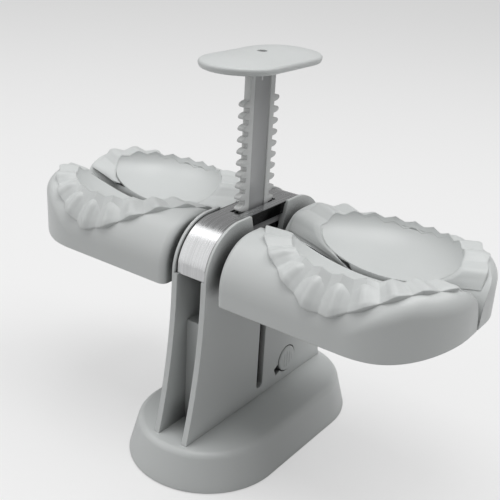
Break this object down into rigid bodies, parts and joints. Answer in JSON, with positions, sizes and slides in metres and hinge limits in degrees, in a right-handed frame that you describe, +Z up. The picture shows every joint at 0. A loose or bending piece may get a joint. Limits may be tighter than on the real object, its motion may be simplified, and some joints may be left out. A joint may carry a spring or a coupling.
{
  "type": "press dumpling mold",
  "caption": "Free-standing press dumpling mold with paired hinged mold halves on a column, closed by pressing a top plate whose double rack turns two pinions.",
  "frame": {"origin": "on the table under the middle of the base", "axes": "+Z up; +X along the mold heads to the right; +Y away from the front, across the slit between the mold halves"},
  "size_m": [0.2022, 0.1172, 0.1679],
  "materials": {
    "white_plastic": "moulded white plastic with a soft gloss",
    "rod_grey": "polished grey plastic rod",
    "grey_plastic": "plain slippery plastic, unpolished",
    "steel_sheet": "bright brushed sheet",
    "plain_steel": "plain bright steel",
    "copper_wire": "drawn copper-coloured spring wire",
    "rubber": "grey rubber pads"
  },
  "bodies": {
    "column": {"base_shell": "white_plastic", "rubber_feet": "rubber", "left_cheek": "white_plastic", "right_cheek": "white_plastic", "column_core": "white_plastic", "top_strap": "steel_sheet", "rod_guide": "grey_plastic", "base_screws": "plain_steel", "cheek_screws": "plain_steel", "shaft_bushes": "grey_plastic", "return_spring": "copper_wire"},
    "plunger": {"rack_rod": "rod_grey", "guide_pin": "plain_steel", "spring_cup": "grey_plastic", "press_handle": "white_plastic", "handle_screw": "plain_steel"},
    "front_molds": {"front_shaft": "plain_steel", "front_pinion": "grey_plastic", "right_front_mold": "white_plastic", "left_front_mold": "white_plastic", "front_grub_screws": "plain_steel"},
    "rear_molds": {"rear_shaft": "plain_steel", "rear_pinion": "grey_plastic", "right_rear_mold": "white_plastic", "left_rear_mold": "white_plastic", "rear_grub_screws": "plain_steel"},
    "button": {"lock_button": "white_plastic"}
  },
  "joints": [
    {"name": "front_mold_hinge", "type": "hinge", "parent": "column", "child": "front_molds", "pos_m": [0, -0.02005, 0.085], "axis": [-1, 0, 0], "range_deg": [0, 90]},
    {"name": "rear_mold_hinge", "type": "hinge", "parent": "column", "child": "rear_molds", "pos_m": [0, 0.02005, 0.085], "axis": [1, 0, 0], "range_deg": [0, 90]},
    {"name": "plunger_slide", "type": "slide", "parent": "column", "child": "plunger", "axis": [0, 0, 1], "range_m": [-0.0154, 0], "stiffness_N_per_m": 120, "springref_m": 0.02, "deforming": ["return_spring"]},
    {"name": "button_slide", "type": "slide", "parent": "column", "child": "button", "axis": [-1, 0, 0], "range_m": [0, 0.0015], "stiffness_N_per_m": 400, "springref_m": -0.001}
  ],
  "couplings": [
    {"joint": "rear_mold_hinge", "follows": "front_mold_hinge", "ratio": 1},
    {"joint": "plunger_slide", "follows": "front_mold_hinge", "m_per_rad": -0.00975}
  ]
}
